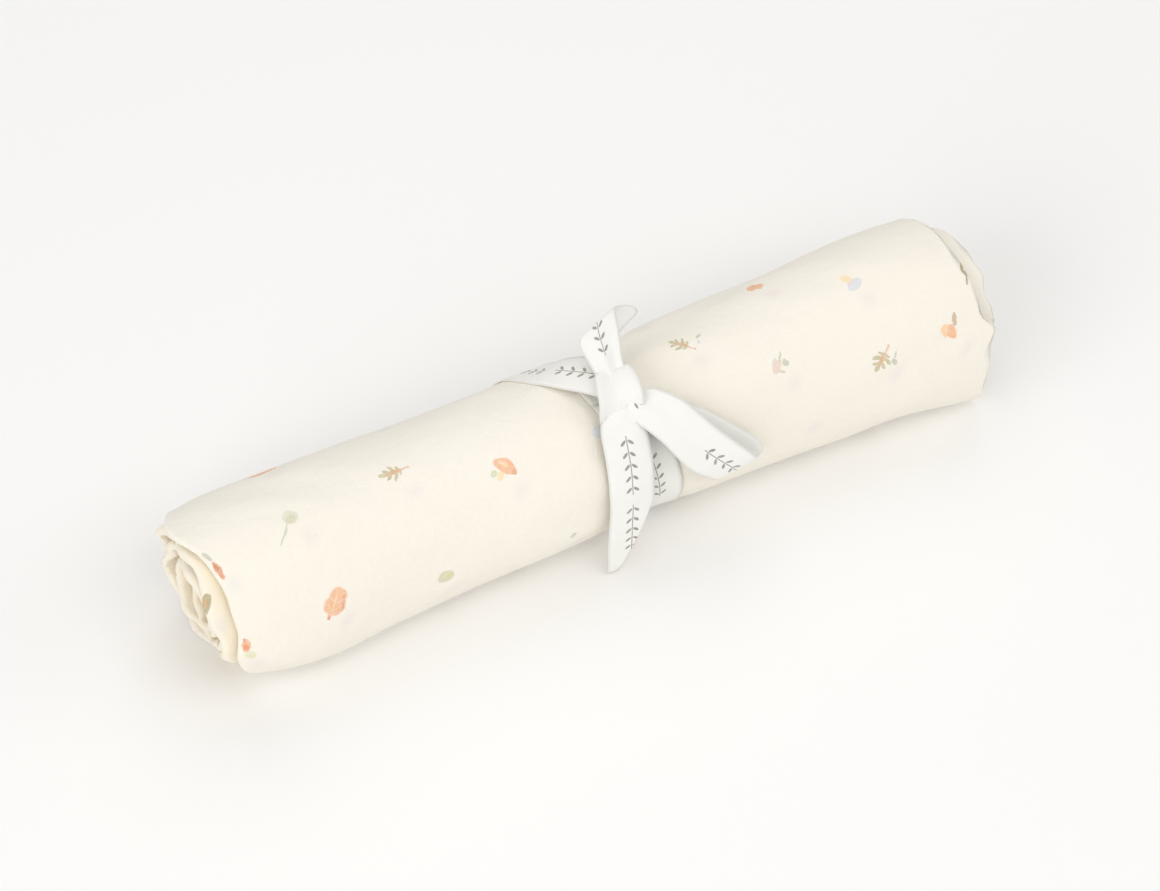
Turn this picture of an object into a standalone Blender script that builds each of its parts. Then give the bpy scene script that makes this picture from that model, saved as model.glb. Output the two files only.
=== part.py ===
"""A muslin swaddle folded small, rolled up and tied round the middle with a ribbon bow.

Metres, +Z up. The roll lies along X on z = 0, its front towards -Y. A place on it is given by x, by
the angle round it (0 at the front, 90 on top, 180 at the back) and by its distance from the axis.
"""

from collections import namedtuple
from math import ceil, cos, exp, pi, radians, sin

import bmesh
import bpy
from mathutils import Vector

# The roll
AXIS_HEIGHT = 0.0309          # the cloth flattens a little where it rests
AXIS_SHIFT = Vector((0.0002, 0.0018, 0.0))   # puts the middle of the whole piece on the origin
FLOOR_BLEND = 0.0006          # rounds the edge of the flat that the roll rests on
TURNS = 4.6                   # wound layers that the solid shows at its ends
STATIONS = 56                 # steps in one turn
RIDGE_STEPS = 4               # steps across one layer
CORE_SHARE = 0.11             # radius of the hollow in the middle, as a share of the roll's
CORE_SINK = 0.002             # how far its centre is drawn in
PLY_STACK = 0.0028            # the folded strip's thickness, where its loose edge ends
LOOSE_EDGE_ANGLE = 212.0      # the loose edge lies low at the back
GROOVE_DEPTH = 0.0056         # between two layers, at both ends
RIDGE_FULLNESS = 0.6          # below 1 for a layer's edge that is broader than a half circle
CORNER_LAYERS = 0.5           # how many layers a corner reaches across
RIM_ROUNDING = 0.0011

# The ribbon
RIBBON_WIDTH = 0.018
RIBBON_THICKNESS = 0.0011
BAND_X = 0.0112               # middle of the band that squeezes the roll
BAND_STEP = 8                 # degrees
CLEARANCE = 0.0003            # between the band and the cloth
TAIL_SLANT = 1.2              # rise of a tail's slanted cut for each metre across it
SLANT_SHARE = 0.2             # the share of the tail over which it comes in
KNOT_SIZE = Vector((0.0082, 0.0094, 0.0049))  # half its size along, round and away from the roll
KNOT_RADIUS = 0.0360
KNOT_ANGLE = 78.0
KNOT_X = 0.0112

# The roll's width along its length. Each row is also a ring of the mesh.
Section = namedtuple("Section", "x radius forward")
SECTIONS = (
    Section(-0.1500, 0.0339, 0.0004),
    Section(-0.1462, 0.0346, 0.0005),
    Section(-0.1369, 0.0350, 0.0006),
    Section(-0.1237, 0.0351, 0.0006),
    Section(-0.1087, 0.0348, 0.0004),
    Section(-0.0919, 0.0339, 0.0003),
    Section(-0.0750, 0.0334, 0.0002),
    Section(-0.0562, 0.0331, 0.0001),
    Section(-0.0375, 0.0330, 0.0000),
    Section(-0.0206, 0.0330, 0.0000),
    Section(-0.0122, 0.0329, 0.0000),
    Section(-0.0061, 0.0324, 0.0000),
    Section(-0.0009, 0.0307, 0.0000),
    Section(0.0019, 0.0300, 0.0000),
    Section(0.0112, 0.0298, 0.0000),
    Section(0.0206, 0.0300, 0.0000),
    Section(0.0244, 0.0308, 0.0000),
    Section(0.0309, 0.0323, -0.0002),
    Section(0.0412, 0.0328, -0.0004),
    Section(0.0581, 0.0331, -0.0006),
    Section(0.0750, 0.0333, -0.0007),
    Section(0.0919, 0.0337, -0.0006),
    Section(0.1087, 0.0343, -0.0004),
    Section(0.1237, 0.0350, -0.0002),
    Section(0.1369, 0.0354, 0.0000),
    Section(0.1462, 0.0354, 0.0000),
    Section(0.1500, 0.0352, 0.0000),
)

# Where the roll swells or sinks: length and spread are how far it reaches along and round.
Swell = namedtuple("Swell", "x angle length spread rise")
SWELLS = (
    Swell(x=-0.124, angle=-35, length=0.028, spread=40, rise=0.0008),
    Swell(x=-0.160, angle=-45, length=0.021, spread=50, rise=-0.0058),
    Swell(x=-0.056, angle=60, length=0.028, spread=26, rise=-0.0007),
    Swell(x=-0.086, angle=150, length=0.024, spread=30, rise=0.0008),
    Swell(x=-0.028, angle=15, length=0.022, spread=24, rise=0.0006),
    Swell(x=0.067, angle=35, length=0.028, spread=28, rise=-0.0008),
    Swell(x=0.111, angle=120, length=0.022, spread=34, rise=0.0008),
    Swell(x=0.158, angle=-40, length=0.022, spread=34, rise=0.0049),
    Swell(x=0.158, angle=125, length=0.019, spread=40, rise=-0.0019),
    Swell(x=0.094, angle=200, length=0.037, spread=36, rise=-0.0008),
)

# How far each layer stands out past SECTIONS' ends, from the core out, and how wavy its edge is.
Layer = namedtuple("Layer", "turn left right wave")
LAYERS = (
    Layer(turn=0.0, left=0.0028, right=-0.0019, wave=0.0005),
    Layer(turn=1.0, left=0.0066, right=0.0024, wave=0.0007),
    Layer(turn=2.0, left=0.0088, right=0.0049, wave=0.0009),
    Layer(turn=3.0, left=0.0086, right=0.0069, wave=0.0010),
    Layer(turn=3.6, left=0.0075, right=0.0067, wave=0.0010),
    Layer(turn=4.2, left=0.0015, right=0.0015, wave=0.0006),
    Layer(turn=4.6, left=0.0000, right=0.0000, wave=0.0004),
)

# Corners and pockets of the layers: side is -1 at the left end and 1 at the right.
Corner = namedtuple("Corner", "side turn angle spread reach")
CORNERS = (
    Corner(side=-1, turn=3.2, angle=-32, spread=20, reach=-0.0037),
    Corner(side=-1, turn=2.1, angle=-20, spread=30, reach=-0.0034),
    Corner(side=-1, turn=3.6, angle=96, spread=24, reach=0.0015),
    Corner(side=-1, turn=3.5, angle=118, spread=36, reach=0.0010),
    Corner(side=-1, turn=4.3, angle=120, spread=40, reach=0.0066),
    Corner(side=-1, turn=3.85, angle=-60, spread=40, reach=-0.0072),
    Corner(side=-1, turn=2.8, angle=-80, spread=44, reach=-0.0070),
    Corner(side=-1, turn=1.8, angle=-70, spread=40, reach=-0.0025),
    Corner(side=1, turn=3.7, angle=22, spread=13, reach=0.0052),
    Corner(side=1, turn=3.85, angle=-42, spread=28, reach=-0.0018),
    Corner(side=1, turn=2.92, angle=-28, spread=34, reach=-0.0058),
    Corner(side=1, turn=1.92, angle=-34, spread=40, reach=-0.0034),
    Corner(side=1, turn=3.3, angle=118, spread=34, reach=-0.0030),
    Corner(side=1, turn=3.4, angle=48, spread=50, reach=0.0036),
    Corner(side=1, turn=3.5, angle=86, spread=30, reach=0.0022),
)

# The ribbon's routes. Each stop has its place on the roll and the way the ribbon's width points
# there: along the roll, round it and away from it. Width is a share of the ribbon's own.
Stop = namedtuple("Stop", "x angle out along around away width")
FRONT_TAIL = (
    Stop(0.0111, 84, 0.0361, 1.00, 0.00, 0.05, 0.62),
    Stop(0.0105, 70, 0.0377, 1.00, 0.00, 0.05, 0.78),
    Stop(0.0092, 54, 0.0369, 1.00, -0.05, 0.04, 0.95),
    Stop(0.0066, 36, 0.0353, 1.00, -0.10, 0.02, 1.00),
    Stop(0.0039, 16, 0.0347, 1.00, -0.12, 0.02, 1.00),
    Stop(0.0022, 0, 0.0350, 1.00, -0.08, 0.03, 1.00),
    Stop(0.0015, -11, 0.0363, 1.00, -0.03, 0.04, 1.00),
    Stop(0.0012, -20, 0.0381, 1.00, 0.00, 0.06, 1.00),
    Stop(0.0010, -30, 0.0424, 1.00, 0.00, 0.06, 1.00),
)
BACK_TAIL = (
    Stop(0.0111, 70, 0.0364, 0.80, 0.55, 0.00, 0.60),
    Stop(0.0097, 82, 0.0377, 0.82, 0.55, 0.04, 0.75),
    Stop(0.0062, 93, 0.0368, 0.82, 0.55, 0.12, 0.95),
    Stop(0.0008, 103, 0.0357, 0.82, 0.55, 0.12, 1.00),
    Stop(-0.0045, 113, 0.0354, 0.83, 0.54, 0.06, 1.00),
    Stop(-0.0088, 126, 0.0349, 0.88, 0.46, 0.00, 1.00),
    Stop(-0.0116, 140, 0.0348, 0.93, 0.36, 0.00, 1.00),
    Stop(-0.0141, 156, 0.0348, 0.96, 0.28, 0.00, 1.00),
    Stop(-0.0161, 173, 0.0350, 0.97, 0.24, 0.00, 1.00),
    Stop(-0.0178, 190, 0.0354, 0.97, 0.22, 0.00, 1.00),
)
LOW_LOOP = (
    Stop(0.0112, 72, 0.0367, 0.74, 0.66, 0.00, 0.62),
    Stop(0.0173, 59, 0.0377, 0.76, 0.64, 0.00, 0.84),
    Stop(0.0246, 44, 0.0381, 0.78, 0.62, 0.00, 1.00),
    Stop(0.0328, 28, 0.0392, 0.80, 0.61, 0.04, 1.00),
    Stop(0.0405, 14, 0.0401, 0.82, 0.60, 0.08, 1.00),
    Stop(0.0452, 3, 0.0390, 0.82, 0.60, 0.06, 1.00),
    Stop(0.0466, -2, 0.0366, 0.82, 0.60, 0.04, 1.00),
    Stop(0.0457, 1, 0.0344, 0.82, 0.60, 0.02, 1.00),
    Stop(0.0424, 12, 0.0339, 0.81, 0.61, 0.00, 1.00),
    Stop(0.0375, 25, 0.0341, 0.80, 0.62, 0.00, 1.00),
    Stop(0.0296, 42, 0.0343, 0.78, 0.63, 0.00, 1.00),
    Stop(0.0211, 58, 0.0349, 0.76, 0.64, 0.00, 0.84),
    Stop(0.0131, 72, 0.0354, 0.74, 0.66, 0.00, 0.62),
)
HIGH_LOOP = (
    Stop(0.0111, 76, 0.0370, 0.97, 0.00, 0.10, 0.62),
    Stop(0.0118, 84, 0.0398, 0.96, 0.00, 0.18, 0.80),
    Stop(0.0126, 91, 0.0435, 0.94, -0.02, 0.26, 1.00),
    Stop(0.0131, 98, 0.0469, 0.92, -0.06, 0.34, 1.00),
    Stop(0.0133, 104, 0.0493, 0.90, -0.10, 0.40, 1.00),
    Stop(0.0152, 109, 0.0495, 0.90, -0.10, 0.40, 1.00),
    Stop(0.0184, 110, 0.0471, 0.91, -0.08, 0.36, 1.00),
    Stop(0.0182, 105, 0.0435, 0.94, -0.04, 0.28, 1.00),
    Stop(0.0152, 96, 0.0398, 0.96, 0.00, 0.18, 0.80),
    Stop(0.0120, 84, 0.0364, 0.97, 0.00, 0.10, 0.62),
)
KNOT_WRAP = (
    Stop(0.0118, 92, 0.0349, 1.00, 0.05, 0.00, 0.60),
    Stop(0.0118, 93, 0.0386, 1.00, 0.05, 0.00, 0.70),
    Stop(0.0116, 86, 0.0412, 1.00, 0.06, 0.00, 0.78),
    Stop(0.0112, 77, 0.0419, 1.00, 0.08, 0.00, 0.80),
    Stop(0.0107, 68, 0.0411, 1.00, 0.10, 0.00, 0.76),
    Stop(0.0103, 62, 0.0383, 1.00, 0.10, 0.00, 0.68),
    Stop(0.0103, 63, 0.0349, 1.00, 0.10, 0.00, 0.60),
)


def on_curve(rows, place):
    """The row at a fractional place along the rows, on a smooth curve through them all."""
    low = min(int(place), len(rows) - 2)
    share = place - low
    a, b, c, d = (rows[min(max(low + k, 0), len(rows) - 1)] for k in (-1, 0, 1, 2))
    mixed = []
    for p, q, r, s in zip(a, b, c, d):
        curve = (2 * p - 5 * q + 4 * r - s) * share**2 + (3 * q - p - 3 * r + s) * share**3
        mixed.append(q + ((r - p) * share + curve) / 2)
    return type(rows[0])(*mixed)


def between(rows, value):
    """The row whose first column is this value, read straight between its neighbours."""
    value = min(max(value, rows[0][0]), rows[-1][0])
    high = next(i for i, row in enumerate(rows) if row[0] >= value)
    low = max(high - 1, 0)
    gap = rows[high][0] - rows[low][0]
    share = (value - rows[low][0]) / gap if gap else 0.0
    return type(rows[0])(*(p + (q - p) * share for p, q in zip(rows[low], rows[high])))


def bell(distance, spread):
    return exp(-((distance / spread) ** 2))


def turned(angle, other):
    """Degrees from one angle to the other, the short way round."""
    return (angle - other + 180) % 360 - 180


def settled(height):
    """A height pressed onto the floor, with a soft edge to the flat."""
    if height <= -FLOOR_BLEND:
        return 0.0
    if height >= FLOOR_BLEND:
        return height
    return (height + FLOOR_BLEND) ** 2 / (4 * FLOOR_BLEND)


def angle_of(turn):
    """The angle round the roll where this much of it is wound."""
    return LOOSE_EDGE_ANGLE + 360 * (turn - TURNS)


def outside(x, turn):
    """Distance from the axis to the outer face, where turn runs from TURNS to TURNS + 1."""
    angle = angle_of(turn)
    radius = between(SECTIONS, x).radius + (turn - TURNS - 0.5) * PLY_STACK
    for swell in SWELLS:
        near = bell(x - swell.x, swell.length) * bell(turned(angle, swell.angle), swell.spread)
        radius += swell.rise * near
    rise = sin(radians(angle))
    if rise < 0:
        radius = (settled(AXIS_HEIGHT + radius * rise) - AXIS_HEIGHT) / rise
    return radius


def layer_radius(x, turn):
    """Distance from the axis to the boundary under this layer, which is the outer face past TURNS."""
    if turn >= TURNS:
        return outside(x, turn)
    covered = outside(x, turn + ceil(TURNS - turn))
    outermost = outside(x, TURNS) / outside(x, TURNS + 1)
    share = turn / TURNS
    return covered * (CORE_SHARE + (outermost - CORE_SHARE) * share)


def place(x, angle, radius):
    """A point of the roll as a position in space."""
    forward = between(SECTIONS, x).forward
    flat = Vector((x, -radius * cos(radians(angle)) - forward, radius * sin(radians(angle))))
    return flat + AXIS_SHIFT + Vector((0, 0, AXIS_HEIGHT))


def end_reach(side, turn):
    """How far the end of this layer stands out past the outer wrap's rim."""
    row = between(LAYERS, turn)
    angle = angle_of(turn)
    reach = row.left if side < 0 else row.right
    wave = sin(radians(3 * angle) + 2.1 * turn + side) + 0.7 * sin(radians(7 * angle) - 1.3 * turn)
    reach += row.wave * wave
    for corner in CORNERS:
        if corner.side == side:
            near = bell(turned(angle, corner.angle), corner.spread)
            reach += corner.reach * near * bell(turn - corner.turn, CORNER_LAYERS)
    return reach


def end_point(side, turn, share):
    """A point on an end: share runs across the layer, from the groove inside it to the one outside."""
    sunk = GROOVE_DEPTH * (1 - sin(pi * share) ** RIDGE_FULLNESS)
    if turn + share >= TURNS:
        sunk = RIM_ROUNDING * max(share - 0.5, 0) * 2
    x = side * (SECTIONS[-1].x + end_reach(side, turn) - sunk)
    inner = layer_radius(x, turn)
    outer = layer_radius(x, turn + 1)
    return x, inner + (outer - inner) * share


def make_object(name, mesh, colour, roughness):
    """Adds the mesh as an object with a cloth material of its own."""
    made = bpy.data.objects.new(name, mesh)
    bpy.context.scene.collection.objects.link(made)
    material = bpy.data.materials.new(name + "_cloth")
    material.use_nodes = True
    surface = material.node_tree.nodes["Principled BSDF"]
    surface.inputs["Base Color"].default_value = (*colour, 1.0)
    surface.inputs["Roughness"].default_value = roughness
    surface.inputs["Metallic"].default_value = 0.0
    mesh.materials.append(material)
    mesh.shade_smooth()
    return made


def build_roll():
    """The wound cloth: both ends follow the spiral, and the outer face joins them."""
    shape = bmesh.new()
    count = round(TURNS * STATIONS)
    made = {}

    def corner(side, station, step):
        """The vertex at a step across the layer, shared with the layer outside it."""
        if step == RIDGE_STEPS:
            station, step = station + STATIONS, 0
        key = (side, station, step)
        if key not in made:
            turn, share = station / STATIONS, step / RIDGE_STEPS
            angle = angle_of(turn)
            if station > count:
                turn, share = turn - 1, 1.0
            x, radius = end_point(side, turn, share)
            made[key] = shape.verts.new(place(x, angle, radius))
        return made[key]

    for side in (-1, 1):
        for station in range(count):
            for step in range(RIDGE_STEPS):
                face = [
                    corner(side, station, step),
                    corner(side, station, step + 1),
                    corner(side, station + 1, step + 1),
                    corner(side, station + 1, step),
                ]
                shape.faces.new(face)
        core = [corner(side, station, 0) for station in range(STATIONS)]
        core += [corner(side, 0, step) for step in range(RIDGE_STEPS, 0, -1)]
        middle = sum((v.co for v in core), Vector()) / len(core)
        hub = shape.verts.new(middle - Vector((side * CORE_SINK, 0, 0)))
        for a, b in zip(core, core[1:] + core[:1]):
            shape.faces.new((a, b, hub))

    def on_face(x, station, step):
        """A new vertex of the outer face. Its steps past the first cross the loose edge."""
        turn = station / STATIONS
        radius = layer_radius(x, turn)
        if step:
            radius += (layer_radius(x, turn + 1) - radius) * step / RIDGE_STEPS
        return shape.verts.new(place(x, angle_of(turn), radius))

    # The outer face: a loop round the last turn and back down across the loose edge.
    loop = [(station, 0) for station in range(count, count + STATIONS)]
    loop += [(count, step) for step in range(RIDGE_STEPS, 0, -1)]
    rims = {side: [corner(side, *spot) for spot in loop] for side in (-1, 1)}
    rings = [rims[-1]]
    for row in SECTIONS[1:-1]:
        side = 1 if row.x > 0 else -1
        follow = abs(row.x / SECTIONS[-1].x) ** 4
        drifts = [(v.co.x - AXIS_SHIFT.x - side * SECTIONS[-1].x) * follow for v in rims[side]]
        rings.append([on_face(row.x + drift, *spot) for spot, drift in zip(loop, drifts)])
    rings.append(rims[1])
    for left, right in zip(rings, rings[1:]):
        for k in range(len(loop)):
            n = (k + 1) % len(loop)
            shape.faces.new((left[k], left[n], right[n], right[k]))

    bmesh.ops.recalc_face_normals(shape, faces=shape.faces)
    mesh = bpy.data.meshes.new("blanket_roll")
    shape.to_mesh(mesh)
    shape.free()
    return make_object("blanket_roll", mesh, colour=(0.90, 0.86, 0.76), roughness=0.95)


def directions(angle):
    """Along the roll, round it and away from it, at this angle."""
    turn = radians(angle)
    return Vector((1, 0, 0)), Vector((0, sin(turn), cos(turn))), Vector((0, -cos(turn), sin(turn)))


def add_strip(shape, stops, steps=0, closed=False, slant=0.0):
    """Sweeps the ribbon's flat section along the stops as one closed body."""
    across = (-0.5, 0.0, 0.5) if closed else (-0.5, -0.25, 0.0, 0.25, 0.5)
    if closed:
        spots = stops
    else:
        spots = [on_curve(stops, (len(stops) - 1) * k / steps) for k in range(steps + 1)]
    points = [place(s.x, s.angle, s.out) for s in spots]
    rings = []
    for k, (spot, point) in enumerate(zip(spots, points)):
        before = points[k - 1] if closed or k else point
        after = points[(k + 1) % len(points)] if closed or k + 1 < len(points) else point
        ahead = (after - before).normalized()
        along, around, away = directions(spot.angle)
        width = along * spot.along + around * spot.around + away * spot.away
        width = (width - ahead * width.dot(ahead)).normalized()
        up = width.cross(ahead)
        pull = slant * max(0.0, 1 - (1 - k / len(spots)) / SLANT_SHARE)
        ring = []
        for face in (0.5, -0.5):
            for share in across if face > 0 else across[::-1]:
                flat = width * share * spot.width * RIBBON_WIDTH
                cut = ahead * pull * share * RIBBON_WIDTH
                ring.append(shape.verts.new(point + flat + cut + up * face * RIBBON_THICKNESS))
        rings.append(ring)
    for a, b in zip(rings, rings[1:] + rings[:1] if closed else rings[1:]):
        for k in range(len(a)):
            n = (k + 1) % len(a)
            shape.faces.new((a[k], a[n], b[n], b[k]))
    if not closed:
        shape.faces.new(rings[0])
        shape.faces.new(rings[-1][::-1])


def band_stops():
    """The band's way round the waist, riding over the highest cloth near each stop."""
    stops = []
    for angle in range(0, 360, BAND_STEP):
        turns = [TURNS + (angle + near - LOOSE_EDGE_ANGLE) % 360 / 360 for near in (-12, -6, 0, 6, 12)]
        places = [BAND_X + share * RIBBON_WIDTH for share in (-0.5, 0, 0.5)]
        highest = max(outside(x, turn) for x in places for turn in turns)
        out = highest + CLEARANCE + RIBBON_THICKNESS / 2
        stops.append(Stop(BAND_X, angle, out, 1, 0, 0, 1))
    return tuple(stops)


def strip_object(name, stops, steps=0, closed=False, slant=0.0):
    """One length of the ribbon as a closed mesh object."""
    shape = bmesh.new()
    add_strip(shape, stops, steps, closed, slant)
    bmesh.ops.recalc_face_normals(shape, faces=shape.faces)
    mesh = bpy.data.meshes.new(name)
    shape.to_mesh(mesh)
    shape.free()
    return make_object(name, mesh, colour=(0.94, 0.93, 0.89), roughness=0.6)


def build_knot():
    """The knot's body: a ball pressed flat, square to the roll."""
    shape = bmesh.new()
    bmesh.ops.create_uvsphere(shape, u_segments=20, v_segments=12, radius=1.0)
    along, around, away = directions(KNOT_ANGLE)
    middle = place(KNOT_X, KNOT_ANGLE, KNOT_RADIUS)
    for vertex in shape.verts:
        x, y, z = (a * b for a, b in zip(vertex.co, KNOT_SIZE))
        vertex.co = middle + along * x + around * y + away * z
    bmesh.ops.recalc_face_normals(shape, faces=shape.faces)
    mesh = bpy.data.meshes.new("ribbon_tie")
    shape.to_mesh(mesh)
    shape.free()
    return make_object("ribbon_tie", mesh, colour=(0.94, 0.93, 0.89), roughness=0.6)


def build_ribbon():
    """The ribbon: its band, knot, two loops and two tails, joined as the one length it is."""
    tie = build_knot()
    lengths = (
        strip_object("band", band_stops(), closed=True),
        strip_object("wrap", KNOT_WRAP, 16),
        strip_object("front_tail", FRONT_TAIL, 26, slant=-TAIL_SLANT),
        strip_object("back_tail", BACK_TAIL, 22, slant=TAIL_SLANT),
        strip_object("low_loop", LOW_LOOP, 30),
        strip_object("high_loop", HIGH_LOOP, 24),
    )
    for length in lengths:
        join = tie.modifiers.new(length.name, "BOOLEAN")
        join.operation = "UNION"
        join.solver = "EXACT"
        join.object = length
        length.hide_render = True
        length.display_type = "WIRE"
    return tie


def main():
    for old in list(bpy.data.objects):
        bpy.data.objects.remove(old)
    build_roll()
    build_ribbon()


main()
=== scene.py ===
"""A muslin swaddle blanket, folded small, rolled up and tied round the middle with a ribbon bow.

Metres, +Z up. The roll lies along X on z = 0 with its front towards -Y. A place on it is given by x,
by the angle round it in degrees (0 at the front, 90 on top, 180 at the back) and by its distance
from the roll's axis.
"""

from collections import namedtuple
from math import cos, pi, radians, sin

import bpy
import numpy as np
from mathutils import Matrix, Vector


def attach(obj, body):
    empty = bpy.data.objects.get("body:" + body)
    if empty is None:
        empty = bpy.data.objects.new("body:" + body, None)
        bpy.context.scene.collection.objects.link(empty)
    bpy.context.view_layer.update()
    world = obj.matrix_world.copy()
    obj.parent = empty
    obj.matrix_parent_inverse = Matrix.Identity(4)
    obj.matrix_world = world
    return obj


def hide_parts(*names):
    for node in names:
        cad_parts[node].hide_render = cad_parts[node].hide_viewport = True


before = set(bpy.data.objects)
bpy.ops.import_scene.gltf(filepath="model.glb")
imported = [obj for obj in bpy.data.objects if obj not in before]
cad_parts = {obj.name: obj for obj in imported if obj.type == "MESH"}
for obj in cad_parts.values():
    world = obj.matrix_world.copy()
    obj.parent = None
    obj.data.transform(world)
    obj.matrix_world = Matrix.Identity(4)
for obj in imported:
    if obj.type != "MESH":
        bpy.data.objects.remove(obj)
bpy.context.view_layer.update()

# ---------------------------------------------------------------------------
# Camera. It stands 1.6 m off with a long lens and looks down on the roll at 53 degrees, and the
# roll runs from near left to far right.
# ---------------------------------------------------------------------------
ELEVATION, AZIMUTH = radians(53), radians(-26.95)
DISTANCE = 1.594
METRES_PER_PIXEL = 0.0003703
FRAME_WIDTH = 1160
FRAME_SHIFT = (-5, 0.5)           # pixels: how far the photograph's middle lies from the roll's
aim = Vector((0.0002, 0.0018, 0.0315))
back = Vector((sin(AZIMUTH) * cos(ELEVATION), -cos(AZIMUTH) * cos(ELEVATION), sin(ELEVATION)))
camera_data = bpy.data.cameras.new("camera")
camera_data.sensor_width = 36
camera_data.lens = 36 * DISTANCE / (METRES_PER_PIXEL * FRAME_WIDTH)
camera_data.shift_x = FRAME_SHIFT[0] / FRAME_WIDTH
camera_data.shift_y = FRAME_SHIFT[1] / FRAME_WIDTH
camera = bpy.data.objects.new("camera", camera_data)
camera.location = aim + back * DISTANCE
camera.rotation_euler = back.to_track_quat("Z", "Y").to_euler()
bpy.context.scene.collection.objects.link(camera)
bpy.context.scene.camera = camera

# ---------------------------------------------------------------------------
# Blanket cloth. One 1.2 m square of double muslin, doubled along its length and then folded in four
# across its width, so that eight plies 0.3 m wide and 0.6 m long are rolled up together. Left end:
# every ply turns back in folds that lie inside each other. Right end: one set of folds and the
# cloth's two hemmed edges. The mesh is that one sheet, a grid across and along the cloth.
# ---------------------------------------------------------------------------
CLOTH_WIDTH = 1.2                 # each way, before it is folded
AXIS_X, AXIS_Y, AXIS_Z = 0.0002, 0.0018, 0.0309   # a point on the roll's axis
FLOOR_BLEND = 0.0006              # rounds the edge of the flat that the roll rests on
TURNS = 4.6                       # times that the strip goes round
LOOSE_EDGE = 212.0                # the outer end lies low at the back
PLY_STACK = 0.0028                # the strip's pressed end
CORE_SHARE = 0.11                 # radius at the strip's start, as a share of the roll's
HALF_LENGTH = CLOTH_WIDTH / 8     # middle to rim of the outer wrap
OUTER_ROUND = 0.21                # once round the outer wrap
RIBBON_SPOT = 0.0112              # where the ribbon squeezes the roll

# Along the roll: x, the outer wrap's radius and how far the roll bows forward.
SECTIONS = np.array([
    (-0.1500, 0.0339, 0.0004),
    (-0.1462, 0.0346, 0.0005),
    (-0.1369, 0.0350, 0.0006),
    (-0.1237, 0.0351, 0.0006),
    (-0.1087, 0.0348, 0.0004),
    (-0.0919, 0.0339, 0.0003),
    (-0.0750, 0.0334, 0.0002),
    (-0.0562, 0.0331, 0.0001),
    (-0.0375, 0.0330, 0.0000),
    (-0.0206, 0.0330, 0.0000),
    (-0.0122, 0.0329, 0.0000),
    (-0.0061, 0.0324, 0.0000),
    (-0.0009, 0.0307, 0.0000),
    (0.0019, 0.0300, 0.0000),
    (0.0112, 0.0298, 0.0000),
    (0.0206, 0.0300, 0.0000),
    (0.0244, 0.0308, 0.0000),
    (0.0309, 0.0323, -0.0002),
    (0.0412, 0.0328, -0.0004),
    (0.0581, 0.0331, -0.0006),
    (0.0750, 0.0333, -0.0007),
    (0.0919, 0.0337, -0.0006),
    (0.1087, 0.0343, -0.0004),
    (0.1237, 0.0350, -0.0002),
    (0.1369, 0.0354, 0.0000),
    (0.1462, 0.0354, 0.0000),
    (0.1500, 0.0352, 0.0000),
])

# Broad swells and hollows of the outer wrap: length and spread are how far each reaches along the
# roll and round it, and lean is how many degrees it drifts round for each 10 mm along.
Swell = namedtuple("Swell", "x angle length spread lean rise")
SWELLS = (
    Swell(-0.124, -35, 0.028, 40, 0, 0.0008),
    Swell(-0.160, -45, 0.021, 50, 0, -0.0058),
    Swell(-0.056, 60, 0.028, 26, 0, -0.0007),
    Swell(-0.086, 150, 0.024, 30, 0, 0.0008),
    Swell(-0.028, 15, 0.022, 24, 0, 0.0006),
    Swell(0.067, 35, 0.028, 28, 0, -0.0008),
    Swell(0.111, 120, 0.022, 34, 0, 0.0008),
    Swell(0.158, -40, 0.022, 34, 0, 0.0049),
    Swell(0.158, 125, 0.019, 40, 0, -0.0019),
    Swell(0.094, 200, 0.037, 36, 0, -0.0008),
    # soft creases that gather into the ribbon, on its left and on its right
    Swell(-0.011, 128, 0.014, 8, 5, -0.0003),
    Swell(-0.013, 104, 0.017, 7, 2, 0.0005),
    Swell(-0.012, 52, 0.016, 7, -3, -0.0008),
    Swell(-0.015, 33, 0.019, 8, -4, 0.0005),
    Swell(-0.013, 12, 0.018, 7, -2, -0.0008),
    Swell(-0.011, -16, 0.014, 8, 3, -0.0007),
    Swell(0.033, 118, 0.015, 8, -4, -0.0008),
    Swell(0.036, 96, 0.018, 7, -2, 0.0004),
    Swell(0.034, 72, 0.016, 7, 3, -0.0008),
    Swell(0.036, 4, 0.017, 8, 2, -0.0007),
    Swell(0.034, -22, 0.015, 8, -3, -0.0007),
    Swell(-0.012, 165, 0.015, 9, 2, -0.0007),
    Swell(0.033, 160, 0.015, 9, -2, -0.0007),
    # long shallow troughs from folding and rolling
    Swell(-0.100, 58, 0.034, 7, 4, -0.0005),
    Swell(-0.074, 24, 0.030, 6, -5, -0.0005),
    Swell(-0.120, 112, 0.026, 8, -6, -0.0005),
    Swell(0.086, 66, 0.032, 7, -5, -0.0005),
    Swell(0.118, 24, 0.024, 6, 5, -0.0006),
    Swell(0.064, 128, 0.026, 8, 4, -0.0005),
)

# How far each layer stands out past the outer wrap: its turn, counted from the core, its reach at the
# left and at the right, and how wavy its edge is.
LAYERS = np.array([
    (0.0, 0.0028, -0.0019, 0.0005),
    (1.0, 0.0066, 0.0024, 0.0007),
    (2.0, 0.0088, 0.0049, 0.0009),
    (3.0, 0.0086, 0.0069, 0.0010),
    (3.6, 0.0075, 0.0067, 0.0010),
    (4.2, 0.0015, 0.0015, 0.0006),
    (4.6, 0.0000, 0.0000, 0.0004),
])

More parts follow.
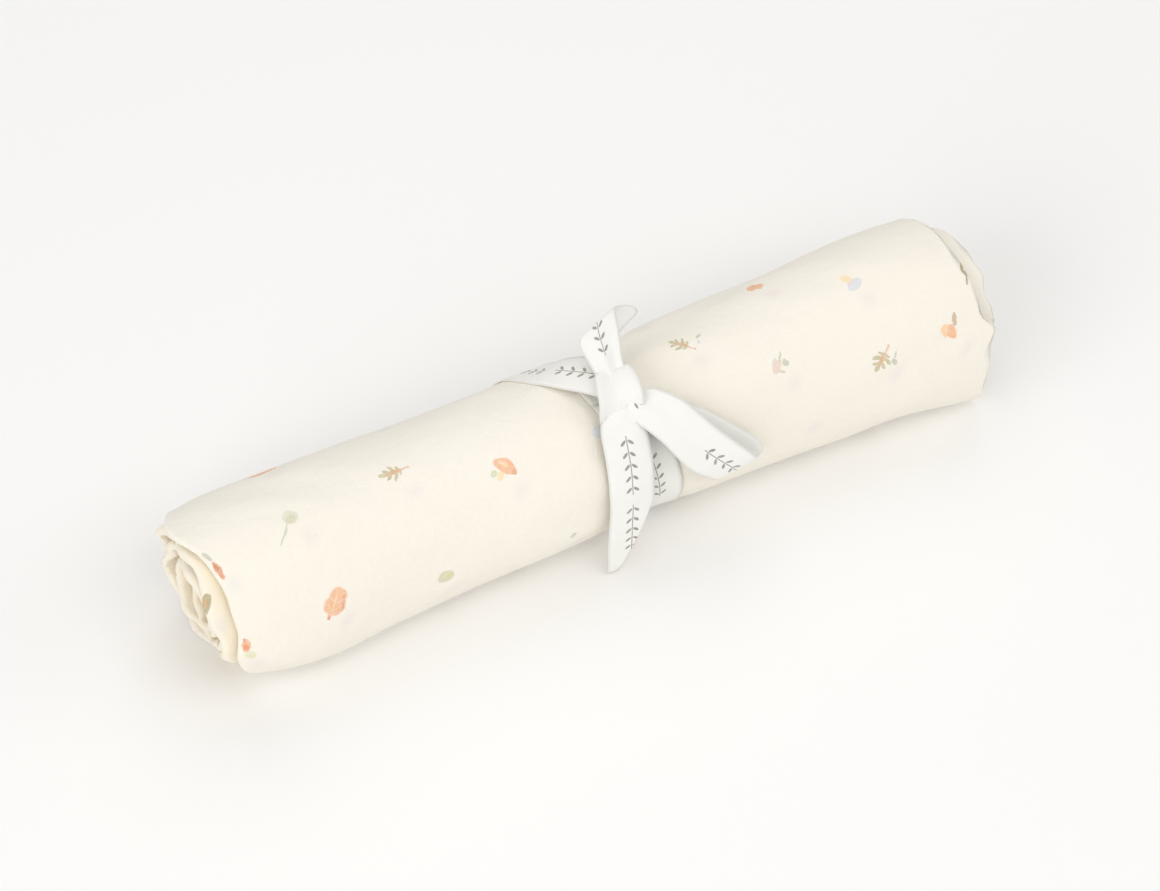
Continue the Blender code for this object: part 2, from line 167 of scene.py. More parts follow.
# Corners and pockets of the layers: side is -1 at the left end and 1 at the right.
Corner = namedtuple("Corner", "side turn angle spread reach")
CORNERS = (
    Corner(-1, 3.2, -32, 20, -0.0037),
    Corner(-1, 2.1, -20, 30, -0.0034),
    Corner(-1, 3.6, 96, 24, 0.0015),
    Corner(1, 3.7, 22, 13, 0.0052),
    Corner(1, 3.85, -42, 28, -0.0018),
    Corner(1, 2.92, -28, 34, -0.0058),
    Corner(1, 1.92, -34, 40, -0.0034),
    Corner(1, 3.3, 118, 34, -0.0030),
    Corner(-1, 3.5, 118, 36, 0.0010),
    Corner(-1, 4.3, 120, 40, 0.0066),
    Corner(-1, 3.85, -60, 40, -0.0072),
    Corner(-1, 2.8, -80, 44, -0.0070),
    Corner(-1, 1.8, -70, 40, -0.0025),
    Corner(1, 3.4, 48, 50, 0.0036),
    Corner(1, 3.5, 86, 30, 0.0022),
    # small ones of the cloth's edge
    Corner(-1, 4.35, 108, 24, 0.0022),
    Corner(1, 3.3, 64, 8, 0.0018),
    Corner(1, 3.3, 50, 8, -0.0022),
    Corner(1, 4.1, 29, 6, 0.0028),
    Corner(1, 4.05, 15, 8, -0.0020),
    Corner(1, 3.0, 8, 20, -0.0030),
    Corner(1, 4.0, -12, 15, -0.0026),
)

# The uneven softness of the cloth, as a few long waves along the roll and round it.
Ripple = namedtuple("Ripple", "along around phase rise")
RIPPLES = (
    Ripple(23, 2, 0.4, 0.00022),
    Ripple(41, -3, 2.1, 0.00020),
    Ripple(67, 5, 4.4, 0.00016),
    Ripple(-98, 7, 1.3, 0.00013),
    Ripple(150, 9, 5.2, 0.00009),
    Ripple(-210, -12, 3.0, 0.00007),
)


def bell(distance, spread):
    return np.exp(-((distance / spread) ** 2))


def smooth_step(value):
    value = np.clip(value, 0, 1)
    return value * value * (3 - 2 * value)


def turned(angle, other):
    """Degrees from the other angle to this one, the short way round."""
    return (angle - other + 180) % 360 - 180


def angle_of(turn):
    return LOOSE_EDGE + 360 * (turn - TURNS)


def along_roll(column, x):
    """A column of SECTIONS at x, with the table's corners rounded off."""
    reach = np.linspace(-0.004, 0.004, 9)
    weights = np.cos(reach / 0.0045 * pi / 2)
    values = [np.interp(x + r, SECTIONS[:, 0], SECTIONS[:, column]) for r in reach]
    return sum(v * w for v, w in zip(values, weights)) / weights.sum()


def face_radius(x, angle, lift):
    """Distance from the axis to the cloth at this angle, pressed flat where it meets the floor."""
    radius = along_roll(1, x) + lift
    for s in SWELLS:
        drift = s.lean * (x - s.x) / 0.01
        radius = radius + s.rise * bell(x - s.x, s.length) * bell(turned(angle, s.angle + drift), s.spread)
    free = 1 - bell(x - RIBBON_SPOT, 0.016) ** 2
    for r in RIPPLES:
        radius = radius + free * r.rise * np.sin(r.along * x + r.around * np.radians(angle) + r.phase)
    rise = np.sin(np.radians(angle))
    height = AXIS_Z + radius * rise
    blended = (height + FLOOR_BLEND) ** 2 / (4 * FLOOR_BLEND)
    height = np.where(height <= -FLOOR_BLEND, 0, np.where(height >= FLOOR_BLEND, height, blended))
    return np.where(rise < -1e-6, (height - AXIS_Z) / np.minimum(rise, -1e-6), radius)


def layer_radius(x, turn):
    """Distance from the axis to where the strip lies after this many turns."""
    lift = (np.maximum(turn, TURNS) - TURNS - 0.5) * PLY_STACK
    share = CORE_SHARE + (1 - CORE_SHARE) * np.minimum(turn, TURNS) / TURNS
    return face_radius(x, angle_of(turn), lift) * share


def end_reach(side, turn):
    """How far this layer's end stands out past the outer wrap's rim."""
    angle = angle_of(turn)
    swing = np.radians(angle)
    reach = np.interp(turn, LAYERS[:, 0], LAYERS[:, 1 if side < 0 else 2])
    wave = np.sin(3 * swing + 2.1 * turn + side) + 0.7 * np.sin(7 * swing - 1.3 * turn)
    scallop = np.sin(11 * swing + 5 * turn + 2 * side) * (0.6 + 0.4 * np.sin(2 * swing + 3 * turn))
    reach = reach + np.interp(turn, LAYERS[:, 0], LAYERS[:, 3]) * (wave + 0.55 * scallop)
    for c in CORNERS:
        if c.side == side:
            near = bell(turned(angle, c.angle), c.spread) * bell(turn - c.turn, 0.5)
            reach = reach + c.reach * near
    return reach


# Across the cloth, one row per run or fold. Runs cross the roll from end to end, and folds turn from
# one ply of the stack to another. outer and inner are the plies of the cloth's two halves, counted
# from the axis out, and steps is how many faces a run has in its middle and at each end.
Run = namedtuple("Run", "start stop outer inner middle_steps end_steps")
RUN_WIDTH = CLOTH_WIDTH / 4
HEM = 0.008
FOLD = 0.006                      # the cloth that each fold takes up
RUNS = (
    Run(1, -1, 0, 1, 20, 8),     # lowest ply, from its hem at the right
    Run(-1, 1, 7, 6, 76, 9),     # top ply, which shows
    Run(1, -1, 4, 5, 20, 8),
    Run(-1, 1, 3, 2, 20, 8),     # to the other hem at the right
)
END_ZONE = 0.10                  # the share of a run that has the finer steps, at each end

spread, plies, other_plies, bulge, flat_width = [], [], [], [], []


def add_point(where, ply, other, out, width):
    spread.append(where)
    plies.append(ply)
    other_plies.append(other)
    bulge.append(out)
    flat_width.append(width)


# the first hem, turned under by its width
for step in range(3):
    add_point(1 - (HEM / HALF_LENGTH) * (1 - step / 2), 0.30, 1.30, 0.0, -HEM * (1 - step / 2))
add_point(1, 0.15, 1.15, 0.35, 0.0)
for number, run in enumerate(RUNS):
    ends = 0.5 - 0.5 * np.cos(np.linspace(0, pi / 2, run.end_steps + 1)[:-1])
    shares = np.concatenate([
        ends * 2 * END_ZONE,
        np.linspace(END_ZONE, 1 - END_ZONE, run.middle_steps + 1),
        1 - ends[::-1] * 2 * END_ZONE,
    ])
    first = RUN_WIDTH * number + (FOLD / 2 if number > 0 else 0)
    last = RUN_WIDTH * (number + 1) - (FOLD / 2 if number < 3 else 0)
    for share in shares:
        where = run.start + (run.stop - run.start) * share
        add_point(where, run.outer, run.inner, 0.0, first + (last - first) * share)
    if number < 3:
        following = RUNS[number + 1]
        half = abs(following.outer - run.outer) / 2
        folds = max(3, round(half * 2.5))
        for step in range(1, folds):
            swing = pi * step / folds
            mix = 0.5 - 0.5 * cos(swing)
            ply = run.outer + (following.outer - run.outer) * mix
            other = run.inner + (following.inner - run.inner) * mix
            add_point(run.stop, ply, other, max(half, 0.5) * sin(swing), last + FOLD * step / folds)
# the other hem
add_point(1, 2.85, 1.85, 0.35, CLOTH_WIDTH)
for step in range(3):
    add_point(1 - (HEM / HALF_LENGTH) * step / 2, 2.7, 1.7, 0.0, CLOTH_WIDTH + HEM * step / 2)
spread, plies, other_plies, bulge, flat_width = (
    np.array(v)[:, None] for v in (spread, plies, other_plies, bulge, flat_width)
)

# Along the cloth: out to the loose edge as one half, round the fold there, and back as the other.
out_turns = np.concatenate([
    np.linspace(0.0, 1.0, 26)[:-1],
    np.linspace(1.0, 2.0, 36)[:-1],
    np.linspace(2.0, 3.6, 86)[:-1],
    np.linspace(3.6, TURNS, 112),
])
back_turns = np.concatenate([
    np.linspace(TURNS, 3.6, 44),
    np.linspace(3.6, 2.0, 68)[1:],
    np.linspace(2.0, 1.0, 30)[1:],
    np.linspace(1.0, 0.0, 22)[1:],
])
fold_swings = np.linspace(0, pi, 5)[1:-1]
turns = np.concatenate([out_turns, np.full(3, TURNS), back_turns])[None, :]
halves = np.concatenate([
    np.zeros(len(out_turns)), 0.5 - 0.5 * np.cos(fold_swings), np.ones(len(back_turns)),
])[None, :]
past_edge = np.concatenate([
    np.zeros(len(out_turns)), 0.0006 * np.sin(fold_swings), np.zeros(len(back_turns)),
])[None, :]

# Where each point of the grid lies. The turns lie tight in the middle and open up at the ends.
TIGHT_GAP = 0.12                  # between one turn's plies and the next, as a share of a turn
ply = plies + (other_plies - plies) * halves
side = np.where(spread > 0, 1, -1)
reach = np.where(side > 0, end_reach(1, turns), end_reach(-1, turns))
near_end = smooth_step((np.abs(spread) - 0.80) / 0.19)
thickness = layer_radius(0.0, turns + 1) - layer_radius(0.0, turns)
swing = np.radians(angle_of(turns))
gap = 0.36 + 0.13 * np.sin(5 * swing + 4 * turns) + 0.09 * np.sin(9 * swing - 3 * turns + side)
last_turn = smooth_step((turns - TURNS + 0.5) / 0.4)
gap = gap * (1 - 0.5 * last_turn)
lowest = TIGHT_GAP + (gap - TIGHT_GAP) * near_end
# the plies part unevenly near the ends
parted = 0.035 * near_end * np.sin(2.4 * ply + 4 * swing + 2 * turns) * np.sin(pi * ply / 7)
stack_place = lowest + (1 - lowest) * (ply / 7 + parted)
pressed = smooth_step((turns - TURNS + 0.05) / 0.05)
stack_place = stack_place * (1 - 0.45 * pressed)
ply_step = thickness * (1 - lowest) / 7
# the plies end short of the layer's reach by about the depth of the widest fold there
inset = np.where(side > 0, 1.75, 3.5) * ply_step
# the plies don't end quite together at the right
ragged = np.where(side > 0, 0.0007 * np.sin(2.7 * ply + 6 * swing + turns) + 0.0006 * (3 - ply) / 3, 0)
x = HALF_LENGTH * spread + side * (reach + ragged - inset) * np.abs(spread) ** 4
x = x + side * bulge * ply_step * 1.15
edge_wave = 0.006 * np.sin(31 * x) + 0.004 * np.sin(74 * x + 1)
all_turns = turns + (edge_wave + past_edge / OUTER_ROUND) * smooth_step((turns - TURNS + 0.12) / 0.12)
low = layer_radius(x, all_turns)
high = layer_radius(x, all_turns + 1)
radius = low + (high - low) * stack_place
angle = angle_of(all_turns)
forward = along_roll(2, x)
positions = np.stack([
    AXIS_X + x,
    AXIS_Y - radius * np.cos(np.radians(angle)) - forward,
    AXIS_Z + radius * np.sin(np.radians(angle)),
], axis=-1)

# The print's coordinates: metres across the cloth and along it, measured on the ply that shows.
top_radius = layer_radius(-0.05, out_turns + 1)
lengths = np.concatenate([[0], np.cumsum(
    (top_radius[1:] + top_radius[:-1]) / 2 * 2 * pi * np.diff(out_turns)
)])
cloth_length = lengths[-1]
back_lengths = 2 * cloth_length - np.interp(back_turns, out_turns, lengths)
flat_length = np.concatenate([lengths, np.full(3, cloth_length), back_lengths])[None, :]

rows, columns = positions.shape[:2]
index = np.arange(rows * columns).reshape(rows, columns)
quads = np.stack([index[:-1, :-1], index[1:, :-1], index[1:, 1:], index[:-1, 1:]], -1).reshape(-1, 4)
uv = np.stack(np.broadcast_arrays(flat_width, flat_length), -1).reshape(-1, 2)


def add_piece(name, points, faces, map_name, map_corners):
    """A mesh object from its points and faces, with a UV map given corner by corner."""
    mesh = bpy.data.meshes.new(name)
    mesh.from_pydata(points.tolist(), [], faces)
    uv_map = mesh.uv_layers.new(name=map_name)
    uv_map.data.foreach_set("uv", map_corners.astype(np.float32).reshape(-1))
    mesh.update()
    piece = bpy.data.objects.new(name, mesh)
    bpy.context.scene.collection.objects.link(piece)
    return piece


blanket = add_piece("blanket", positions.reshape(-1, 3), quads.tolist(), "cloth", uv[quads.reshape(-1)])
blanket.data.shade_smooth()


def srgb(code):
    """An sRGB hex colour as linear red, green, blue and alpha."""
    values = [int(code[i:i + 2], 16) / 255 for i in (1, 3, 5)]
    linear = [v / 12.92 if v <= 0.04045 else ((v + 0.055) / 1.055) ** 2.4 for v in values]
    return (*linear, 1.0)


def add_node(material, kind, inputs=None, **settings):
    """Adds a node, with its settings, and gives each input a value or a link. Returns the node."""
    node = material.node_tree.nodes.new("ShaderNode" + kind)
    for name, value in settings.items():
        setattr(node, name, value)
    for name, value in (inputs or {}).items():
        if isinstance(value, bpy.types.NodeSocket):
            material.node_tree.links.new(value, node.inputs[name])
        else:
            node.inputs[name].default_value = value
    return node


# The print: one small watercolour motif in each cell of a grid, eight cells across and four along the
# cloth, and each repeat lies two cells further along than the one beside it. Millimetres, and degrees
# from across the cloth. A motif's level keeps its marks apart from those of the other motifs.
CELL = (37.5, 34.5)
REPEAT = (8 * CELL[0], 4 * CELL[1])
SHOWN_MIDDLE = 0.45               # the middle of the run that shows, across the cloth, in metres
# the grid's place on the cloth
PRINT_START = (3.5 * CELL[0] - 1000 * SHOWN_MIDDLE, 164.5 - 1000 * cloth_length)
LEVELS = dict(
    oak=10.0, oak_sprig_above=10.1, oak_sprig_below=9.9, mushroom=20.0, cone=30.0, seed_head=40.0,
    berry=50.0, bud=60.0, petal=70.0, flower=80.0, small_cone=90.0, blue_mushroom=100.0,
    two_nuts=110.0, acorn=120.0, long_leaf=130.0, rose_hip=140.0, none=190.0,
)
TOP_LEVEL = 200.0
OFFSET_RANGE = 20.0               # a motif lies at most this far from its cell's middle
Motif = namedtuple("Motif", "kind across along turn")
MOTIFS = (
    Motif("seed_head", -7, -5, 200), Motif("berry", 6, -4, 80), Motif("oak", -2, -8, 150),
    Motif("cone", 4, -3, 20), Motif("seed_head", -5, -6, 110), Motif("blue_mushroom", 3, -7, 240),
    Motif("oak", -6, -4, 75), Motif("long_leaf", 3.0, -2.6, 93),
    Motif("cone", -0.6, 3.7, 59), Motif("berry", 3.8, -6.4, -4), Motif("bud", 16.3, -12.4, 30),
    Motif("none", 0, 0, 0), Motif("none", 0, 0, 0), Motif("none", 0, 0, 0),
    Motif("oak_sprig_below", -5.1, 10, 41), Motif("two_nuts", -15.8, 10.8, 52),
    Motif("seed_head", -3.6, 2.9, 46), Motif("oak", -0.6, 4.2, -2), Motif("mushroom", -2.0, -10.2, 46),
    Motif("petal", -2.1, -10.0, 56), Motif("oak_sprig_above", 3.6, 9.0, -54),
    Motif("flower", -4.8, -12.8, 57), Motif("blue_mushroom", -4.6, 5.6, -57),
    Motif("acorn", 0.9, -5.0, 62),
    Motif("cone", -1.0, 0.5, 10), Motif("acorn", 4, 8, 200), Motif("flower", -4, 7, 100),
    Motif("oak", 5, 9, 30), Motif("two_nuts", -6, 6, 160), Motif("small_cone", 3.5, -10.6, 155),
    Motif("berry", -3, 8, 60), Motif("rose_hip", 4.2, -2.4, 103),
)

# Each mark of a motif is a soft-edged oval: its middle, its length, its width and how far it is turned.
Mark = namedtuple("Mark", "x y long wide turn colour depth", defaults=(1.0,))
OLIVE, BROWN_PINK, STEM_PINK = "#CBC19D", "#DBB38D", "#EAC0AC"
ORANGE, PALE_ORANGE, DEEP_ORANGE = "#F3BC94", "#FAD2A6", "#E8A685"
YELLOW, GREEN, GREY_GREEN = "#FAE2B8", "#D8DCBD", "#CCCDBC"
BLUE_GREY, SEED, BERRY, DARK_OLIVE = "#DEE0E4", "#E2DFC9", "#D8D4B8", "#B5A780"
SPRIG_DEPTH = 0.02                # in levels: keeps a sprig to the oak leaf that has it
MARKS = dict(
    oak=(
        Mark(-1.2, 0.0, 7.4, 1.6, 2, OLIVE),
        Mark(-4.7, 0.1, 3.0, 1.7, -8, OLIVE),
        Mark(-3.2, 1.2, 3.0, 1.3, 136, OLIVE),
        Mark(-2.8, -1.3, 2.9, 1.3, -132, OLIVE),
        Mark(-1.0, 1.7, 4.0, 1.3, 124, OLIVE),
        Mark(-0.5, -1.8, 3.9, 1.3, -118, OLIVE),
        Mark(1.1, 1.1, 2.6, 1.1, 110, OLIVE),
        Mark(1.4, -1.0, 2.4, 1.1, -112, OLIVE),
        Mark(-0.9, 0.0, 6.2, 1.5, 2, BROWN_PINK),
        Mark(3.3, 0.1, 3.6, 0.7, 6, STEM_PINK),
        Mark(4.8, 0.3, 1.2, 1.0, 20, STEM_PINK),
    ),
    oak_sprig_above=(
        Mark(3.2, 6.2, 2.6, 1.6, 70, GREY_GREEN, SPRIG_DEPTH),
        Mark(4.6, 3.8, 2.2, 1.5, 110, BLUE_GREY, SPRIG_DEPTH),
    ),
    oak_sprig_below=(
        Mark(2.6, -3.6, 4.2, 0.6, 10, GREY_GREEN, SPRIG_DEPTH),
        Mark(0.2, -4.3, 2.7, 2.0, 30, GREY_GREEN, SPRIG_DEPTH),
    ),
    mushroom=(
        Mark(-2.7, 0.5, 3.8, 2.5, 10, YELLOW),
        Mark(-3.0, 3.0, 2.5, 2.3, 0, GREEN),
        Mark(1.0, 0.2, 9.4, 4.6, 86, ORANGE),
        Mark(2.2, 0.4, 6.0, 3.6, 90, ORANGE),
        Mark(1.7, 1.2, 4.0, 1.6, 84, PALE_ORANGE),
        Mark(0.4, -3.5, 2.4, 2.0, 50, DEEP_ORANGE),
    ),
    cone=(
        Mark(-5.6, 0.5, 2.4, 1.2, 12, DEEP_ORANGE),
        Mark(-1.3, 0.0, 7.8, 8.3, 0, ORANGE),
        Mark(1.8, -0.2, 7.0, 6.8, 0, ORANGE),
        Mark(0.0, -2.9, 6.4, 1.1, 14, DEEP_ORANGE),
        Mark(0.2, 0.5, 8.6, 0.5, 3, PALE_ORANGE),
        Mark(-2.2, -1.5, 3.6, 0.4, -52, PALE_ORANGE),
        Mark(0.4, -1.4, 3.4, 0.4, -50, PALE_ORANGE),
        Mark(2.8, -1.0, 2.6, 0.4, -48, PALE_ORANGE),
        Mark(-1.8, 2.1, 3.4, 0.4, 50, PALE_ORANGE),
        Mark(0.8, 1.9, 3.0, 0.4, 52, PALE_ORANGE),
    ),
    seed_head=(
        Mark(-6.8, 0.0, 9.8, 0.7, 2, "#D3D5C2"),
        Mark(0.0, 0.0, 5.6, 5.2, 0, SEED),
        Mark(-0.9, -0.6, 3.4, 3.2, 0, "#DBD7BA"),
    ),
    berry=(
        Mark(0.0, 0.0, 6.2, 5.6, 8, BERRY),
        Mark(0.4, 0.4, 4.0, 3.0, 12, "#DDD6A4"),
    ),
    bud=(
        Mark(0.0, 0.0, 2.8, 2.1, 20, "#C9CFC2"),
    ),
    petal=(
        Mark(0.0, 0.0, 5.2, 4.4, 0, "#E5E7EC"),
    ),
    flower=(
        Mark(0.2, 2.2, 3.4, 1.2, -12, BLUE_GREY),
        Mark(-1.4, 0.9, 5.6, 3.2, -8, "#ECD5C7"),
        Mark(2.6, 0.5, 4.4, 0.7, 4, "#C8CDA8"),
        Mark(0.8, -1.9, 3.2, 2.1, 60, GREY_GREEN),
        Mark(-2.7, -1.3, 2.8, 1.0, -70, "#D8CDBB"),
    ),
    small_cone=(
        Mark(1.0, 0.0, 4.4, 5.2, 0, ORANGE),
        Mark(-1.5, 0.2, 3.4, 4.2, 0, ORANGE),
        Mark(0.4, -0.9, 2.6, 1.5, 60, DEEP_ORANGE),
    ),
    blue_mushroom=(
        Mark(-2.0, 0.4, 4.4, 2.8, 10, YELLOW),
        Mark(1.8, 0.0, 6.6, 4.0, 86, BLUE_GREY),
        Mark(0.3, -0.6, 2.8, 1.4, 70, "#EBDAD8"),
    ),
    two_nuts=(
        Mark(-1.1, 1.3, 5.8, 3.3, -12, PALE_ORANGE),
        Mark(-0.6, -0.9, 6.0, 3.2, 9, ORANGE),
        Mark(4.2, -0.7, 4.8, 1.8, 24, "#CBBCA4"),
        Mark(3.8, -1.3, 3.0, 0.9, 22, "#DDB08F"),
    ),
    acorn=(
        Mark(-5.4, 0.2, 4.4, 0.9, -8, DARK_OLIVE),
        Mark(0.0, 0.0, 7.6, 3.8, 4, DARK_OLIVE),
        Mark(0.2, 0.3, 3.8, 1.8, 0, "#D9A670"),
    ),
    long_leaf=(
        Mark(-2.6, 0.0, 7.4, 2.3, 0, "#E5A684"),
        Mark(-1.2, 0.2, 3.2, 1.1, 0, "#D58C5E"),
        Mark(3.6, 0.2, 4.2, 1.7, 8, "#CDCDB9"),
    ),
    rose_hip=(
        Mark(-2.9, -0.5, 4.6, 3.2, 20, "#E7E7C6"),
        Mark(2.2, 0.0, 6.0, 3.3, 0, ORANGE),
        Mark(4.9, 0.2, 2.4, 1.1, 0, DEEP_ORANGE),
        Mark(1.4, 0.2, 3.4, 1.6, 20, "#EE9F78"),
    ),
)
MARK_EDGE = 0.13                  # how softly the ink ends, as a share of the oval's own size
BENEATH_SHIFT = (3.0, -9.0, 0.0)  # how far the print of the ply beneath lies from this one's

# Washed double muslin: two layers of open cotton gauze, matt, creamy and a little crinkled from the wash.
# Where light sinks in between the plies at the left end and comes back warm, that warm glow is painted into
# the colour below.
muslin = bpy.data.materials.new("washed_double_muslin")
muslin.use_nodes = True
muslin_surface = muslin.node_tree.nodes["Principled BSDF"]
muslin_surface.inputs["Roughness"].default_value = 0.95
muslin_surface.inputs["Specular IOR Level"].default_value = 0.2
muslin_surface.inputs["Sheen Weight"].default_value = 0.15
muslin_surface.inputs["Sheen Roughness"].default_value = 0.6

cloth_place = add_node(muslin, "UVMap", uv_map="cloth").outputs["UV"]
cloth_sides = add_node(muslin, "SeparateXYZ", {"Vector": cloth_place})

# Tones: broad soft ones all over. At the left end the inner plies and turns get a painted warm glow,
# stronger the deeper they lie. It stands in for light that sinks in between them.
mottle = add_node(muslin, "TexNoise", {"Vector": cloth_place, "Scale": 16.0, "Detail": 3.0})
outer_tone = add_node(muslin, "Mix", {
    0: mottle.outputs[0], 6: srgb("#F5EFE1"), 7: srgb("#F9F3E8"),
}, data_type="RGBA").outputs[2]
off_ply = add_node(muslin, "Math", {0: cloth_sides.outputs["X"], 1: SHOWN_MIDDLE}, operation="SUBTRACT")
off_ply = add_node(muslin, "Math", {0: off_ply.outputs[0]}, operation="ABSOLUTE")
other_ply = add_node(muslin, "MapRange", {
    "Value": off_ply.outputs[0], "From Min": 0.150, "From Max": 0.158,
}, interpolation_type="SMOOTHSTEP")
inner_turn = add_node(muslin, "MapRange", {
    "Value": cloth_sides.outputs["Y"], "From Min": cloth_length - 0.200, "From Max": cloth_length - 0.215,
    "To Max": 0.75,
}, interpolation_type="SMOOTHSTEP")
inside = add_node(muslin, "Math", {
    0: other_ply.outputs[0], 1: inner_turn.outputs[0],
}, operation="MAXIMUM")
roll_place = add_node(muslin, "TexCoord").outputs["Object"]
roll_sides = add_node(muslin, "SeparateXYZ", {"Vector": roll_place})
depth = add_node(muslin, "MapRange", {
    "Value": roll_sides.outputs["X"], "From Min": -0.1575, "From Max": -0.1475, "To Min": 0.25,
})
left_end = add_node(muslin, "MapRange", {
    "Value": roll_sides.outputs["X"], "From Min": 0.0, "From Max": -0.1,
})
for share in (left_end, depth):
    inside = add_node(muslin, "Math", {0: inside.outputs[0], 1: share.outputs[0]}, operation="MULTIPLY")
# painted warm glow: the deep plies at the left end are tinted light yellow in place of light passing
# between them
tone_and_painted_glow = add_node(muslin, "Mix", {
    0: inside.outputs[0], 6: outer_tone, 7: srgb("#FBE9BC"),
}, data_type="RGBA").outputs[2]

# Where each point lies in the print, in millimetres. A wobble gives the ink its bled edges.
bleed = add_node(muslin, "TexNoise", {"Vector": cloth_place, "Scale": 520.0, "Detail": 2.0})
wobble = add_node(muslin, "VectorMath", {
    0: bleed.outputs["Color"], 1: (1.3, 1.3, 0), 2: (PRINT_START[0] - 0.65, PRINT_START[1] - 0.65, 0),
}, operation="MULTIPLY_ADD")
print_place = add_node(muslin, "VectorMath", {
    0: cloth_place, 1: (1000, 1000, 0), 2: wobble.outputs[0],
}, operation="MULTIPLY_ADD").outputs[0]


def soft_oval(material, place, middle, turn, half_sizes, fade):
    """1 inside an oval and 0 outside it, fading over this share of its size."""
    oval = add_node(material, "Mapping", {
        "Vector": place, "Location": middle, "Rotation": (0, 0, radians(turn)), "Scale": half_sizes,
    }, vector_type="TEXTURE")
    far = add_node(material, "VectorMath", {0: oval.outputs[0]}, operation="LENGTH")
    return add_node(material, "MapRange", {
        "Value": far.outputs["Value"], "From Min": 1 + fade, "From Max": 1 - fade,
    }, interpolation_type="SMOOTHSTEP").outputs[0]


def uneven_ink(material, place, scale, detail, weakest):
    """How strongly the ink took, from weakest to 1."""
    ink = add_node(material, "TexNoise", {"Vector": place, "Scale": scale, "Detail": detail})
    return add_node(material, "MapRange", {
        "Value": ink.outputs[0], "From Min": 0.3, "From Max": 0.7, "To Min": weakest, "To Max": 1.0,
    }).outputs[0]


def motif_place(place):
    """The nearest motif's own coordinates, with its level as the third. Its length lies along X."""
    sides = add_node(muslin, "SeparateXYZ", {"Vector": place})
    repeat = add_node(muslin, "Math", {0: sides.outputs["X"], 1: REPEAT[0]}, operation="DIVIDE")
    repeat = add_node(muslin, "Math", {0: repeat.outputs[0]}, operation="FLOOR")
    step = add_node(muslin, "Math", {0: repeat.outputs[0], 1: 2 * CELL[1]}, operation="MULTIPLY")
    step = add_node(muslin, "CombineXYZ", {"Y": step.outputs[0]})
    stepped = add_node(muslin, "VectorMath", {0: place, 1: step.outputs[0]}, operation="ADD")
    tile = add_node(muslin, "VectorMath", {
        0: stepped.outputs[0], 1: (*REPEAT, 1), 2: (0, 0, 0),
    }, operation="WRAP")
    cells = add_node(muslin, "VectorMath", {0: tile.outputs[0], 1: (*CELL, 1)}, operation="DIVIDE")
    cell = add_node(muslin, "VectorMath", {0: cells.outputs[0]}, operation="FLOOR")
    within = add_node(muslin, "VectorMath", {0: cells.outputs[0]}, operation="FRACTION")
    counted = add_node(muslin, "VectorMath", {
        0: cell.outputs[0], 1: (1 / len(MOTIFS), 8 / len(MOTIFS), 0),
    }, operation="DOT_PRODUCT")
    spot = add_node(muslin, "Math", {
        0: counted.outputs["Value"], 1: 0.5 / len(MOTIFS),
    }, operation="ADD")
    # the list of motifs as a ramp of flat steps: place in red and green, turn in blue, level in alpha
    chart = add_node(muslin, "ValToRGB", {"Fac": spot.outputs[0]})
    chart.color_ramp.interpolation = "CONSTANT"
    for number, motif in enumerate(MOTIFS):
        stops = chart.color_ramp.elements
        stop = stops[number] if number < 2 else stops.new(number / len(MOTIFS))
        stop.position = number / len(MOTIFS)
        stop.color = (
            0.5 + motif.across / (2 * OFFSET_RANGE),
            0.5 + motif.along / (2 * OFFSET_RANGE),
            motif.turn % 360 / 360,
            LEVELS[motif.kind] / TOP_LEVEL,
        )
    middle = add_node(muslin, "VectorMath", {
        0: within.outputs[0], 1: (*CELL, 0), 2: (OFFSET_RANGE - CELL[0] / 2, OFFSET_RANGE - CELL[1] / 2, 0),
    }, operation="MULTIPLY_ADD")
    from_motif = add_node(muslin, "VectorMath", {
        0: chart.outputs["Color"], 1: (-2 * OFFSET_RANGE, -2 * OFFSET_RANGE, 0), 2: middle.outputs[0],
    }, operation="MULTIPLY_ADD")
    coded = add_node(muslin, "SeparateXYZ", {"Vector": chart.outputs["Color"]})
    turn = add_node(muslin, "Math", {0: coded.outputs["Z"], 1: -2 * pi}, operation="MULTIPLY")
    turned_back = add_node(muslin, "VectorRotate", {
        "Vector": from_motif.outputs[0], "Angle": turn.outputs[0],
    }, rotation_type="Z_AXIS")
    level = add_node(muslin, "Math", {0: chart.outputs["Alpha"], 1: TOP_LEVEL}, operation="MULTIPLY")
    level = add_node(muslin, "CombineXYZ", {"Z": level.outputs[0]})
    return add_node(muslin, "VectorMath", {
        0: turned_back.outputs[0], 1: level.outputs[0],
    }, operation="ADD").outputs[0]


# The ply beneath shows its own motifs as faint cool blots.
beneath = add_node(muslin, "VectorMath", {0: print_place, 1: BENEATH_SHIFT}, operation="SUBTRACT")
blot = add_node(muslin, "VectorMath", {
    0: motif_place(beneath.outputs[0]), 1: (1 / 4.6, 1 / 3.6, 0),
}, operation="MULTIPLY")
blot = add_node(muslin, "VectorMath", {0: blot.outputs[0]}, operation="LENGTH")
blot = add_node(muslin, "MapRange", {
    "Value": blot.outputs["Value"], "From Min": 1.3, "From Max": 0.1, "To Max": 0.36,
}, interpolation_type="SMOOTHSTEP")
tone_and_painted_glow = add_node(muslin, "Mix", {
    0: blot.outputs[0], 6: tone_and_painted_glow, 7: srgb("#EAE1DF"),
}, data_type="RGBA").outputs[2]

